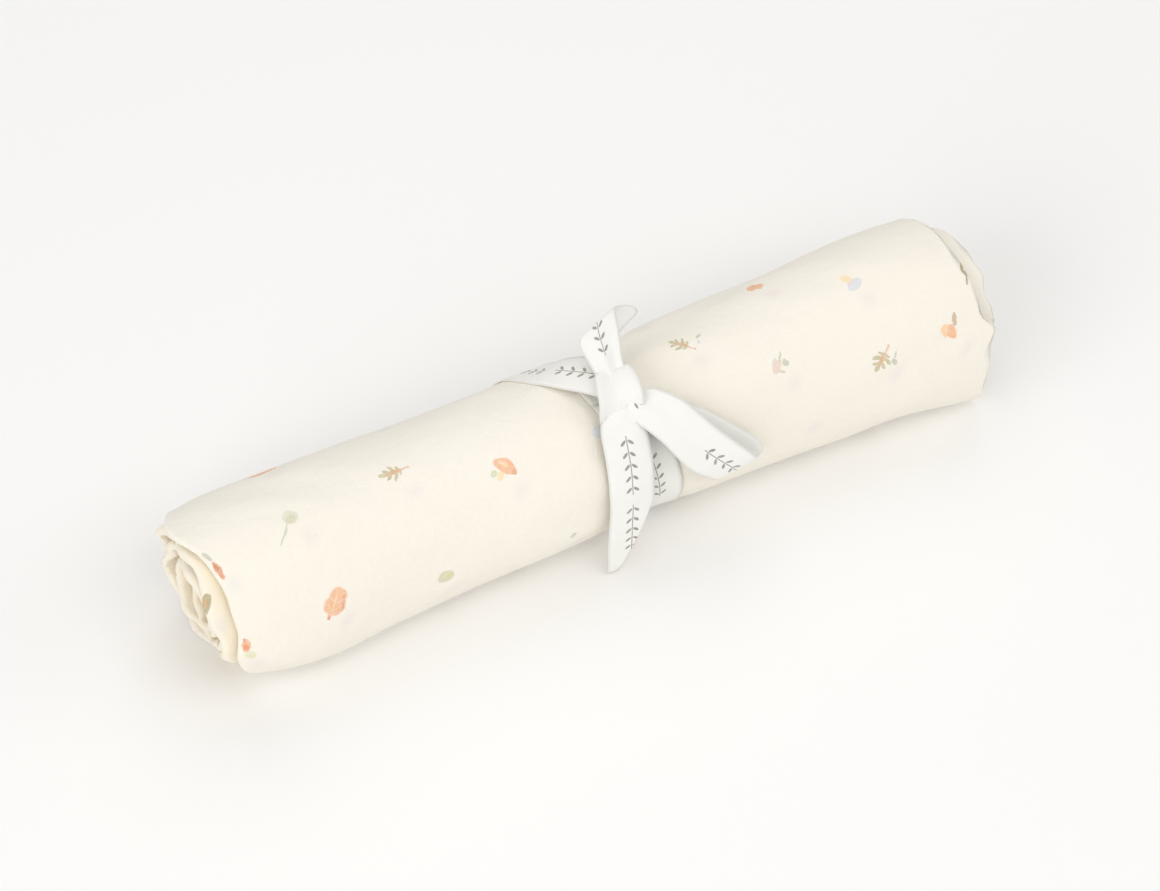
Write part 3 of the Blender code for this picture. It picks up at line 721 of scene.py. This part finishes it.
motif_here = motif_place(print_place)
printed = tone_and_painted_glow
for kind, marks in MARKS.items():
    for mark in marks:
        middle = (mark.x, mark.y, LEVELS[kind])
        half_sizes = (mark.long / 2, mark.wide / 2, mark.depth)
        inked = soft_oval(muslin, motif_here, middle, mark.turn, half_sizes, MARK_EDGE)
        printed = add_node(muslin, "Mix", {
            0: inked, 6: printed, 7: srgb(mark.colour),
        }, data_type="RGBA").outputs[2]
inked_cloth = add_node(muslin, "Mix", {
    0: uneven_ink(muslin, cloth_place, 420.0, 3.0, 0.72), 6: tone_and_painted_glow, 7: printed,
}, data_type="RGBA").outputs[2]

# Hem: a line of small stitches along each side of the cloth.
STITCH_LENGTH, STITCH_GAP = 0.0025, 0.0009
STITCH_WIDTH = 0.0005
STITCH_INSET = 0.007
from_side = add_node(muslin, "Math", {
    0: cloth_sides.outputs["X"], 1: CLOTH_WIDTH / 2,
}, operation="SUBTRACT")
from_side = add_node(muslin, "Math", {0: from_side.outputs[0]}, operation="ABSOLUTE")
on_seam = add_node(muslin, "Math", {
    0: from_side.outputs[0], 1: CLOTH_WIDTH / 2 - STITCH_INSET, 2: STITCH_WIDTH,
}, operation="COMPARE")
along_seam = add_node(muslin, "Math", {
    0: cloth_sides.outputs["Y"], 1: STITCH_LENGTH + STITCH_GAP,
}, operation="MODULO")
in_stitch = add_node(muslin, "Math", {
    0: along_seam.outputs[0], 1: STITCH_LENGTH,
}, operation="LESS_THAN")
stitch = add_node(muslin, "Math", {
    0: on_seam.outputs[0], 1: in_stitch.outputs[0],
}, operation="MULTIPLY").outputs[0]
sewn_cloth = add_node(muslin, "Mix", {
    0: stitch, 6: inked_cloth, 7: srgb("#FDFAF0"),
}, data_type="RGBA").outputs[2]
muslin.node_tree.links.new(sewn_cloth, muslin_surface.inputs["Base Color"])

# Relief in metres: the gauze's crossing threads, the crinkle and the stitches. The threads are 0.5 mm
# apart in the real cloth and drawn 1.2 mm apart here, or they wouldn't show.
THREAD_SPACING = 0.0012


def crossing_threads(material, place, spacing):
    """The relief of a plain weave, from -1 to 1."""
    waves = add_node(material, "VectorMath", {0: place, "Scale": 2 * pi / spacing}, operation="SCALE")
    waves = add_node(material, "VectorMath", {0: waves.outputs[0]}, operation="SINE")
    waves = add_node(material, "SeparateXYZ", {"Vector": waves.outputs[0]})
    return add_node(material, "Math", {
        0: waves.outputs["X"], 1: waves.outputs["Y"],
    }, operation="MULTIPLY").outputs[0]


uneven = add_node(muslin, "TexNoise", {"Vector": cloth_place, "Scale": 240.0, "Detail": 2.0})
uneven_place = add_node(muslin, "VectorMath", {
    0: uneven.outputs["Color"], 1: (0.0008, 0.0008, 0), 2: cloth_place,
}, operation="MULTIPLY_ADD").outputs[0]
weave = crossing_threads(muslin, uneven_place, THREAD_SPACING)
crinkle = add_node(muslin, "TexNoise", {
    "Vector": cloth_place, "Scale": 150.0, "Detail": 4.0, "Roughness": 0.55, "Distortion": 0.5,
})
relief = add_node(muslin, "Math", {0: crinkle.outputs[0], 1: 0.0011, 2: 0.0}, operation="MULTIPLY_ADD")
for raised, height in ((weave, 0.00003), (stitch, 0.0002)):
    relief = add_node(muslin, "Math", {
        0: raised, 1: height, 2: relief.outputs[0],
    }, operation="MULTIPLY_ADD")
bumped = add_node(muslin, "Bump", {"Height": relief.outputs[0], "Distance": 1.0, "Strength": 0.5})
muslin.node_tree.links.new(bumped.outputs[0], muslin_surface.inputs["Normal"])
blanket.data.materials.append(muslin)

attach(blanket, "root")
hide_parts("blanket_roll")

# ---------------------------------------------------------------------------
# Ribbon. One length of soft cotton tape 18 mm wide, taken once round the roll and tied in a bow.
# Each run of it is a strip swept along its route, lying on the cloth where it touches, and the runs
# are one mesh with the tape's own thickness.
# ---------------------------------------------------------------------------
RIBBON_WIDTH = 0.018
RIBBON_THICKNESS = 0.00045
RIBBON_GAP = 0.00018              # between the tape and the cloth under it
PRINT_REPEAT = 0.080              # of the tape's print: two sprigs, then a plain stretch

# Each stop has its place on the roll as x, angle and distance out, then the way the ribbon's width
# points there as along the roll, round it and away from it, and then its width as a share of the full.
FRONT_TAIL = (
    (0.0108, 79, 0.0356, 1.00, -0.03, 0.00, 0.67),
    (0.0090, 70, 0.0366, 1.00, -0.09, 0.00, 0.92),
    (0.0070, 62, 0.0366, 0.99, -0.13, 0.00, 1.00),
    (0.0056, 55, 0.0360, 0.99, -0.14, 0.00, 1.01),
    (0.0045, 44, 0.0354, 0.99, -0.13, 0.00, 1.00),
    (0.0037, 33, 0.0350, 0.99, -0.12, 0.00, 1.00),
    (0.0027, 22, 0.0350, 0.99, -0.10, 0.00, 1.00),
    (0.0018, 11, 0.0353, 0.99, -0.11, 0.00, 1.00),
    (0.0009, 0, 0.0362, 1.00, -0.06, 0.06, 1.00),
    (-0.0001, -10, 0.0384, 1.00, -0.01, 0.10, 1.00),
    (-0.0004, -23, 0.0414, 0.99, 0.02, 0.11, 1.00),
    (-0.0005, -37, 0.0478, 0.99, 0.07, 0.10, 1.00),
)
BACK_TAIL = (
    (0.0111, 70, 0.0364, 0.80, 0.55, 0.00, 0.60),
    (0.0097, 82, 0.0377, 0.82, 0.55, 0.04, 0.75),
    (0.0062, 93, 0.0368, 0.82, 0.55, 0.12, 0.95),
    (0.0008, 103, 0.0357, 0.82, 0.55, 0.12, 1.00),
    (-0.0045, 113, 0.0350, 0.83, 0.54, 0.06, 1.00),
    (-0.0088, 126, 0.0335, 0.88, 0.46, 0.00, 1.00),
    (-0.0116, 140, 0.0334, 0.93, 0.36, 0.00, 1.00),
    (-0.0141, 156, 0.0335, 0.96, 0.28, 0.00, 1.00),
    (-0.0161, 173, 0.0341, 0.97, 0.24, 0.00, 1.00),
    (-0.0178, 190, 0.0350, 0.97, 0.22, 0.00, 1.00),
)
LOW_LOOP = (
    (0.0115, 71, 0.0365, 0.73, 0.68, 0.00, 0.60),
    (0.0175, 62, 0.0379, 0.61, 0.80, 0.03, 0.85),
    (0.0234, 51, 0.0387, 0.68, 0.73, 0.07, 0.98),
    (0.0274, 40, 0.0391, 0.71, 0.70, 0.11, 1.01),
    (0.0320, 29, 0.0392, 0.73, 0.67, 0.14, 1.02),
    (0.0369, 20, 0.0394, 0.81, 0.55, 0.19, 1.02),
    (0.0405, 13.7, 0.0392, 0.85, 0.48, 0.22, 1.02),
    (0.0429, 8.8, 0.0386, 0.91, 0.36, 0.21, 1.01),
    (0.0454, 7.6, 0.0372, 0.92, 0.36, 0.15, 1.04),
    (0.0466, 9.7, 0.0360, 0.92, 0.38, 0.09, 1.04),
    (0.0454, 14.4, 0.0351, 0.92, 0.38, 0.04, 1.02),
    (0.0408, 23.5, 0.0347, 0.92, 0.39, 0.01, 1.00),
    (0.0349, 35, 0.0348, 0.91, 0.42, 0.01, 0.98),
    (0.0289, 46, 0.0349, 0.90, 0.43, 0.00, 0.92),
    (0.0221, 57, 0.0353, 0.83, 0.56, 0.00, 0.77),
    (0.0142, 70, 0.0354, 0.77, 0.63, 0.00, 0.58),
)
HIGH_LOOP = (
    (0.0110, 78, 0.0360, 1.00, 0.02, 0.00, 0.59),
    (0.0106, 86, 0.0374, 1.00, 0.01, 0.00, 0.58),
    (0.0105, 92.5, 0.0402, 1.00, 0.03, 0.00, 0.64),
    (0.0109, 98.5, 0.0437, 1.00, 0.02, 0.04, 0.78),
    (0.0115, 103.4, 0.0470, 0.99, 0.10, 0.06, 0.92),
    (0.0125, 107.1, 0.0490, 0.97, 0.23, 0.11, 1.00),
    (0.0136, 109.3, 0.0498, 0.94, 0.31, 0.15, 1.03),
    (0.0163, 111.1, 0.0488, 0.90, 0.42, 0.13, 1.06),
    (0.0208, 111.8, 0.0468, 0.87, 0.49, 0.09, 1.10),
    (0.0235, 110.8, 0.0440, 0.85, 0.52, 0.04, 1.08),
    (0.0196, 108.8, 0.0419, 0.84, 0.54, 0.01, 1.00),
    (0.0139, 106.0, 0.0404, 0.82, 0.58, 0.00, 0.86),
    (0.0114, 100.8, 0.0388, 0.83, 0.56, 0.00, 0.70),
    (0.0110, 93.7, 0.0371, 0.87, 0.48, 0.00, 0.58),
    (0.0110, 84, 0.0358, 0.94, 0.34, 0.00, 0.50),
)
KNOT_WRAP = (
    (0.0122, 90.9, 0.0356, 1.00, 0.01, 0.00, 0.52),
    (0.0112, 93.0, 0.0392, 1.00, 0.00, 0.00, 0.64),
    (0.0102, 88.0, 0.0421, 1.00, -0.03, 0.00, 0.78),
    (0.0092, 79.5, 0.0426, 1.00, -0.03, 0.00, 0.90),
    (0.0082, 71.8, 0.0416, 1.00, -0.05, 0.00, 0.96),
    (0.0073, 66.9, 0.0394, 1.00, -0.05, 0.00, 1.00),
    (0.0072, 64.3, 0.0374, 1.00, -0.06, 0.00, 1.00),
    (0.0078, 65.3, 0.0356, 1.00, -0.06, 0.00, 0.96),
)
across = np.linspace(-0.5, 0.5, 11)
ribbon_points, ribbon_faces, ribbon_uv = [], [], []


def wrapped(angle):
    """How far round the cloth lies that is outermost at this angle, in turns."""
    return TURNS + (angle - LOOSE_EDGE) % 360 / 360


def roll_point(x, angle, radius):
    """Places on the roll as positions in space."""
    swing = np.radians(angle)
    y = AXIS_Y - radius * np.cos(swing) - along_roll(2, x)
    return np.stack(np.broadcast_arrays(AXIS_X + x, y, AXIS_Z + radius * np.sin(swing)), -1)


def lifted(points):
    """The points, moved out of the cloth where they lie in it or too close to it."""
    x = points[..., 0] - AXIS_X
    y = AXIS_Y - along_roll(2, x) - points[..., 1]
    z = points[..., 2] - AXIS_Z
    angle = np.degrees(np.arctan2(z, y))
    radius = np.hypot(y, z)
    cloth = layer_radius(x, wrapped(angle)) + RIBBON_GAP + RIBBON_THICKNESS / 2
    return roll_point(x, angle, np.maximum(radius, cloth))


def on_curve(rows, places):
    """Rows at fractional places along a table, on a smooth curve through them all."""
    low = np.minimum(places.astype(int), len(rows) - 2)
    share = (places - low)[:, None]
    a, b, c, d = (rows[np.clip(low + k, 0, len(rows) - 1)] for k in (-1, 0, 1, 2))
    bend = (2 * a - 5 * b + 4 * c - d) * share**2 + (3 * b - a - 3 * c + d) * share**3
    return b + ((c - a) * share + bend) / 2


def add_strip(points, print_start, cut=0.0):
    """Adds a grid of points to the ribbon's mesh, and returns its length. Each strip has its own
    stretch of the tape's print and starts at this place in a repeat of it. A tail is cut on a curved
    slant, which makes its right side shorter by this share of its length."""
    steps = np.linalg.norm(np.diff(points[:, len(across) // 2], axis=0), axis=1)
    lengths = 3 * PRINT_REPEAT * len(ribbon_points) + print_start + np.concatenate([[0], np.cumsum(steps)])
    spots = np.concatenate([points, np.broadcast_to(lengths[:, None, None], (*points.shape[:2], 1))], -1)
    reach = 1 - cut * (0.5 + across) ** 2
    place = np.arange(len(points))[:, None] * reach[None, :]
    low = np.minimum(place.astype(int), len(points) - 2)
    column = np.arange(len(across))[None, :]
    part = (place - low)[..., None]
    spots = spots[low, column] * (1 - part) + spots[low + 1, column] * part
    first = sum(len(p) for p in ribbon_points)
    index = first + np.arange(spots.shape[0] * spots.shape[1]).reshape(spots.shape[:2])
    sides = np.broadcast_to(across[None, :] * RIBBON_WIDTH, spots.shape[:2])
    grid = np.stack([sides, spots[..., 3]], -1)
    faces = np.stack([index[:-1, :-1], index[:-1, 1:], index[1:, 1:], index[1:, :-1]], -1)
    corners = np.stack([grid[:-1, :-1], grid[:-1, 1:], grid[1:, 1:], grid[1:, :-1]], -2)
    ribbon_points.append(spots[..., :3].reshape(-1, 3))
    ribbon_faces.extend(faces.reshape(-1, 4).tolist())
    ribbon_uv.append(corners.reshape(-1, 2))
    return steps.sum()


def sweep(stops, steps, cup=0.0005, pleats=1.5):
    """A run of the ribbon along its stops, gathered in soft pleats where it is narrowed."""
    spots = on_curve(np.array(stops), np.linspace(0, len(stops) - 1, steps + 1))
    x, angle, out, along, around, away, width = spots.T
    centre = roll_point(x, angle, out)
    ahead = np.gradient(centre, axis=0)
    ahead /= np.linalg.norm(ahead, axis=1)[:, None]
    swing = np.radians(angle)
    nil = np.zeros_like(swing)
    round_it = np.stack([nil, np.sin(swing), np.cos(swing)], -1)
    outward = np.stack([nil, -np.cos(swing), np.sin(swing)], -1)
    sideways = along[:, None] * np.array([1.0, 0, 0]) + around[:, None] * round_it + away[:, None] * outward
    sideways /= np.linalg.norm(sideways, axis=1)[:, None]
    up = np.cross(sideways, ahead)
    up /= np.linalg.norm(up, axis=1)[:, None]
    up *= np.sign((up[1] * outward[1]).sum())
    share = across[None, :, None]
    place = np.linspace(0, 1, steps + 1)[:, None, None]
    width = width[:, None, None]
    narrowed = np.sqrt(np.clip(1 - width, 0, 1) / width)
    pleat = 0.0011 * narrowed * np.cos(2 * pi * pleats * share + 0.8)
    crown = cup * (1 - 4 * share**2)
    ripple = 0.0003 * (2 * share) ** 3 * np.sin(9 * place * steps / 40 + 1.1)
    side = sideways[:, None, :] * share * width * RIBBON_WIDTH
    return lifted(centre[:, None, :] + side + up[:, None, :] * (pleat + crown + ripple))


# The band, pulled tight over the roll's high spots: it runs a little slanted round the roll.
band_angles = 80 + np.arange(0, 361, 3)
slant = 0.0045 * bell(turned(band_angles, -15), 75) - 0.0065 * bell(turned(band_angles, 122), 50)
band_x = RIBBON_SPOT + slant[:, None] + across[None, :] * RIBBON_WIDTH
band_radius = layer_radius(band_x[:-1], wrapped(band_angles[:-1])[:, None])
band_radius = np.max([np.roll(band_radius, k, axis=0) for k in range(-4, 5)], axis=0)
band_radius = np.mean([np.roll(band_radius, k, axis=0) for k in range(-4, 5)], axis=0)
band_radius = np.concatenate([band_radius, band_radius[:1]]) + RIBBON_GAP + RIBBON_THICKNESS / 2
ribbon_length = sum([
    add_strip(roll_point(band_x, band_angles[:, None], band_radius), 0.014),
    add_strip(sweep(FRONT_TAIL, 60), 0.0622, cut=0.37),
    add_strip(sweep(BACK_TAIL, 46), 0.069, cut=0.25),
    add_strip(sweep(LOW_LOOP, 84), 0.045),
    add_strip(sweep(HIGH_LOOP, 76), 0.0655),
    add_strip(sweep(KNOT_WRAP, 36, cup=0.0028, pleats=2.0), 0.053),
])

ribbon = add_piece(
    "ribbon", np.concatenate(ribbon_points), ribbon_faces, "tape", np.concatenate(ribbon_uv),
)
bpy.ops.object.select_all(action="DESELECT")
bpy.context.view_layer.objects.active = ribbon
ribbon.select_set(True)
wall = ribbon.modifiers.new("thickness", "SOLIDIFY")
wall.thickness = RIBBON_THICKNESS
wall.offset = 0
bpy.ops.object.modifier_apply(modifier=wall.name)
ribbon.data.shade_smooth()

# Woven cotton tape: a close, smooth weave with a firmer edge, off-white, printed with a garland of
# small grey sprigs. Millimetres across the tape and along it.
SPRIG_LENGTH, SPRIG_PITCH = 23.0, 27.5
LEAF_PITCH = 4.6                  # between a sprig's pairs of leaves
cotton_tape = bpy.data.materials.new("woven_cotton_tape")
cotton_tape.use_nodes = True
tape_surface = cotton_tape.node_tree.nodes["Principled BSDF"]
tape_surface.inputs["Roughness"].default_value = 0.8
tape_surface.inputs["Specular IOR Level"].default_value = 0.3
tape_surface.inputs["Sheen Weight"].default_value = 0.1

tape_place = add_node(cotton_tape, "UVMap", uv_map="tape").outputs["UV"]
tape_place = add_node(cotton_tape, "VectorMath", {
    0: tape_place, "Scale": 1000.0,
}, operation="SCALE").outputs[0]
tape_sides = add_node(cotton_tape, "SeparateXYZ", {"Vector": tape_place})
from_middle = add_node(cotton_tape, "Math", {0: tape_sides.outputs["X"]}, operation="ABSOLUTE")
edge = add_node(cotton_tape, "MapRange", {
    "Value": from_middle.outputs[0], "From Min": 8.1, "From Max": 8.4,
}, interpolation_type="SMOOTHSTEP").outputs[0]
tape_mottle = add_node(cotton_tape, "TexNoise", {"Vector": tape_place, "Scale": 0.12, "Detail": 3.0})
tape_tone = add_node(cotton_tape, "Mix", {
    0: tape_mottle.outputs[0], 6: srgb("#F1F0EA"), 7: srgb("#F7F6F1"),
}, data_type="RGBA").outputs[2]
tape_tone = add_node(cotton_tape, "Mix", {
    0: edge, 6: tape_tone, 7: srgb("#EDECE5"),
}, data_type="RGBA").outputs[2]

along_repeat = add_node(cotton_tape, "Math", {
    0: tape_sides.outputs["Y"], 1: 1000 * PRINT_REPEAT,
}, operation="MODULO")
printed_part = add_node(cotton_tape, "Math", {
    0: along_repeat.outputs[0], 1: 2 * SPRIG_PITCH,
}, operation="LESS_THAN")
along_sprig = add_node(cotton_tape, "Math", {
    0: along_repeat.outputs[0], 1: SPRIG_PITCH,
}, operation="MODULO")
on_sprig = add_node(cotton_tape, "Math", {
    0: along_sprig.outputs[0], 1: SPRIG_LENGTH,
}, operation="LESS_THAN")
on_sprig = add_node(cotton_tape, "Math", {
    0: on_sprig.outputs[0], 1: printed_part.outputs[0],
}, operation="MULTIPLY")
along_leaf = add_node(cotton_tape, "Math", {
    0: along_sprig.outputs[0], 1: LEAF_PITCH,
}, operation="MODULO")
leaf_place = add_node(cotton_tape, "CombineXYZ", {
    "X": from_middle.outputs[0], "Y": along_leaf.outputs[0],
})
leaf = soft_oval(cotton_tape, leaf_place.outputs[0], (1.45, 2.5, 0), 42, (1.35, 0.55, 1), 0.2)
stem = add_node(cotton_tape, "MapRange", {
    "Value": from_middle.outputs[0], "From Min": 0.26, "From Max": 0.12,
}, interpolation_type="SMOOTHSTEP")
sprig = add_node(cotton_tape, "Math", {0: leaf, 1: stem.outputs[0]}, operation="MAXIMUM")
sprig = add_node(cotton_tape, "Math", {
    0: sprig.outputs[0], 1: on_sprig.outputs[0],
}, operation="MULTIPLY")
ink = add_node(cotton_tape, "Math", {
    0: uneven_ink(cotton_tape, tape_place, 1.4, 2.0, 0.7), 1: sprig.outputs[0],
}, operation="MULTIPLY")
printed_tape = add_node(cotton_tape, "Mix", {
    0: ink.outputs[0], 6: tape_tone, 7: srgb("#8C8880"),
}, data_type="RGBA").outputs[2]
cotton_tape.node_tree.links.new(printed_tape, tape_surface.inputs["Base Color"])

# Relief: crossing threads, 0.35 mm apart in the real tape and drawn 0.9 mm apart to show, and the edge.
TAPE_THREADS = 0.9
tape_relief = add_node(cotton_tape, "Math", {
    0: crossing_threads(cotton_tape, tape_place, TAPE_THREADS), 1: 0.00002, 2: 0.0,
}, operation="MULTIPLY_ADD")
tape_relief = add_node(cotton_tape, "Math", {
    0: edge, 1: 0.00008, 2: tape_relief.outputs[0],
}, operation="MULTIPLY_ADD")
tape_bump = add_node(cotton_tape, "Bump", {
    "Height": tape_relief.outputs[0], "Distance": 1.0, "Strength": 0.6,
})
cotton_tape.node_tree.links.new(tape_bump.outputs[0], tape_surface.inputs["Normal"])
ribbon.data.materials.append(cotton_tape)

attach(ribbon, "root")
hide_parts("ribbon_tie")

# ---------------------------------------------------------------------------
# Floor, a plain pale surface that the roll lies on.
# ---------------------------------------------------------------------------
bpy.ops.object.select_all(action="DESELECT")
bpy.ops.mesh.primitive_plane_add(size=8, location=(0, 0, 0))
floor = bpy.context.object
floor.name = "floor"
paper = bpy.data.materials.new("matt_white_paper")
paper.use_nodes = True
paper_surface = paper.node_tree.nodes["Principled BSDF"]
paper_surface.inputs["Base Color"].default_value = srgb("#F9F8F6")
paper_surface.inputs["Roughness"].default_value = 0.9
floor.data.materials.append(paper)

# ---------------------------------------------------------------------------
# Soft studio light: a large key from above and in front, fills from both sides, one from behind and
# a pale surround.
# ---------------------------------------------------------------------------
Lamp = namedtuple("Lamp", "name place size power")
LAMPS = (
    Lamp("key", (0.2, -1.0, 1.6), 1.2, 8.2),
    Lamp("left", (-1.3, -0.6, 0.8), 1.4, 10.4),
    Lamp("right", (1.3, -0.8, 0.9), 1.2, 3.8),
    Lamp("behind", (0.3, 0.9, 1.5), 1.4, 7.5),
)
for lamp in LAMPS:
    lamp_data = bpy.data.lights.new(lamp.name, "AREA")
    lamp_data.size = lamp.size
    lamp_data.energy = lamp.power
    light = bpy.data.objects.new(lamp.name, lamp_data)
    light.location = lamp.place
    light.rotation_euler = Vector(lamp.place).to_track_quat("Z", "Y").to_euler()
    bpy.context.scene.collection.objects.link(light)
world = bpy.data.worlds.new("studio")
world.use_nodes = True
world.node_tree.nodes["Background"].inputs["Color"].default_value = srgb("#FFFFFF")
world.node_tree.nodes["Background"].inputs["Strength"].default_value = 0.46
bpy.context.scene.world = world
bpy.context.scene.view_settings.view_transform = "Standard"
